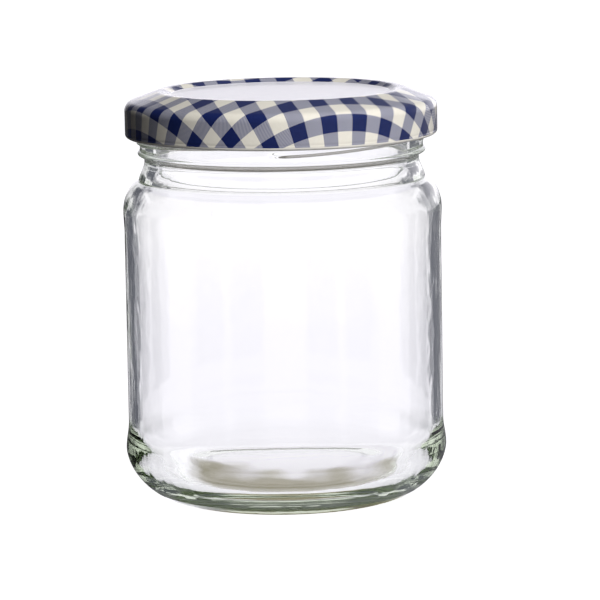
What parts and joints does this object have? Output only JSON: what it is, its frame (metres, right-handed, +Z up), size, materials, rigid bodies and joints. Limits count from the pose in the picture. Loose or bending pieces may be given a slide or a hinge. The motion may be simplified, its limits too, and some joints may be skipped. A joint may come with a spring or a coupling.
{
  "type": "glass preserve jar with twist-off lid",
  "caption": "Empty round glass preserve jar, about 75 mm across and 96 mm tall, with a navy and cream gingham twist-off lid.",
  "frame": {"origin": "middle of the foot, on the surface the jar stands on", "axes": "+Z up along the jar's own axis, from foot to lid; -Y faces the viewer"},
  "size_m": [0.0754, 0.0754, 0.096],
  "materials": {
    "flint_glass": "clear soda-lime glass with a faint green cast",
    "printed_tinplate": "gloss varnish over navy and cream gingham print, white panel"
  },
  "bodies": {
    "root": {"jar": "flint_glass", "lid": "printed_tinplate"}
  },
  "joints": []
}
